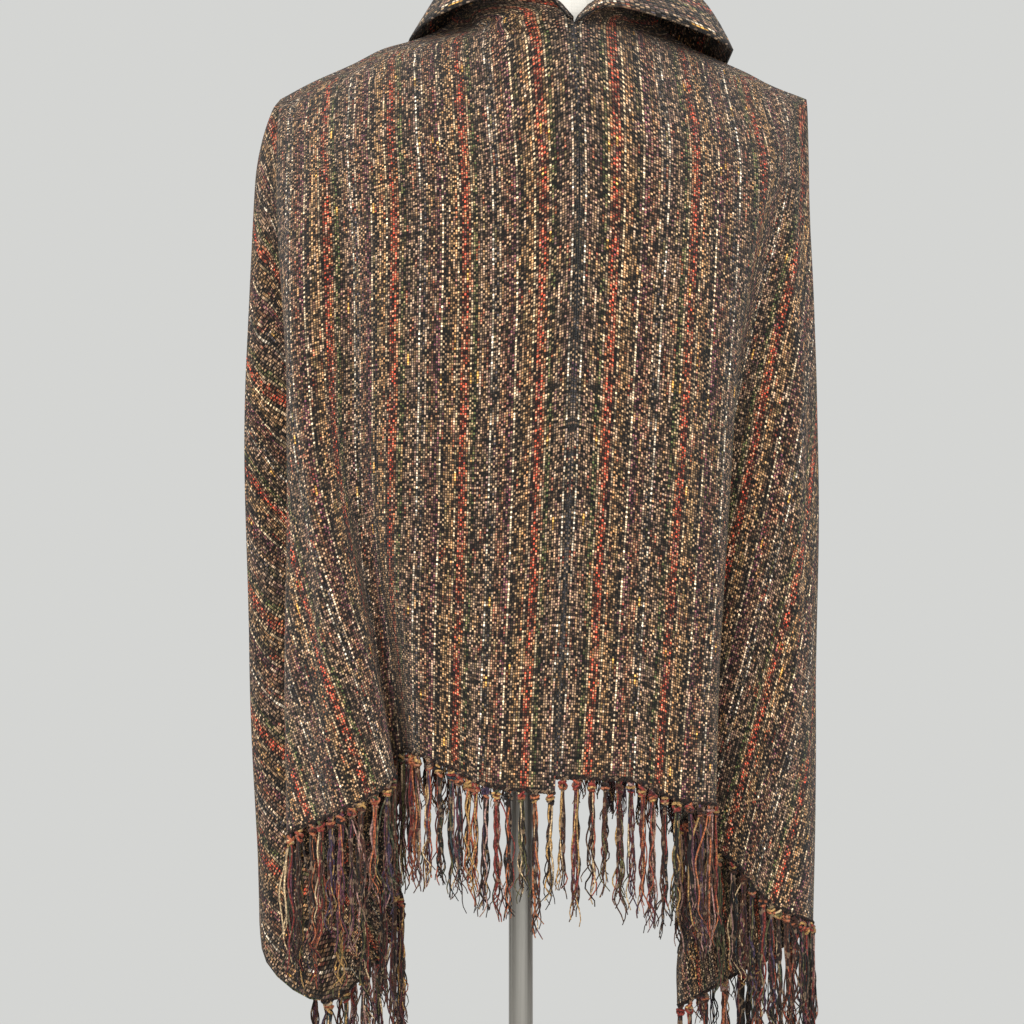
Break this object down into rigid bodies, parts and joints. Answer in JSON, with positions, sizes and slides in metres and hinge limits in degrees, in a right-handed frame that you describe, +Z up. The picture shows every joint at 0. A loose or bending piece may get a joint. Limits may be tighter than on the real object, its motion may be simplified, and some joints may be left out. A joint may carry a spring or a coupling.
{
  "type": "tweed poncho on a limbless dress form with a pole stand",
  "caption": "Open-front striped tweed poncho of two joined panels with knotted fringe, worn on a limbless dress form with a pole and round base.",
  "frame": {"origin": "centre of the round base's underside, on the pole's axis", "axes": "+Z up; the garment's back faces -Y, its open front faces +Y; +X is the right of the back view"},
  "size_m": [0.5138, 0.3308, 1.545],
  "materials": {
    "tweed": "coarse plain-weave tweed, warp-striped in brown, rust, olive, gold and plum, dry and matte",
    "yarn": "loose multicolour warp ends, knotted, matte",
    "form_cover": "plain off-white jersey over a smooth form, matte",
    "steel": "brushed along the pole and round the base"
  },
  "bodies": {
    "root": {"panel_left": "tweed", "panel_right": "tweed", "fringe_back_left": "yarn", "fringe_back_right": "yarn", "fringe_front_left": "yarn", "fringe_front_right": "yarn", "form_torso": "form_cover", "pole": "steel", "base": "steel"}
  },
  "joints": []
}
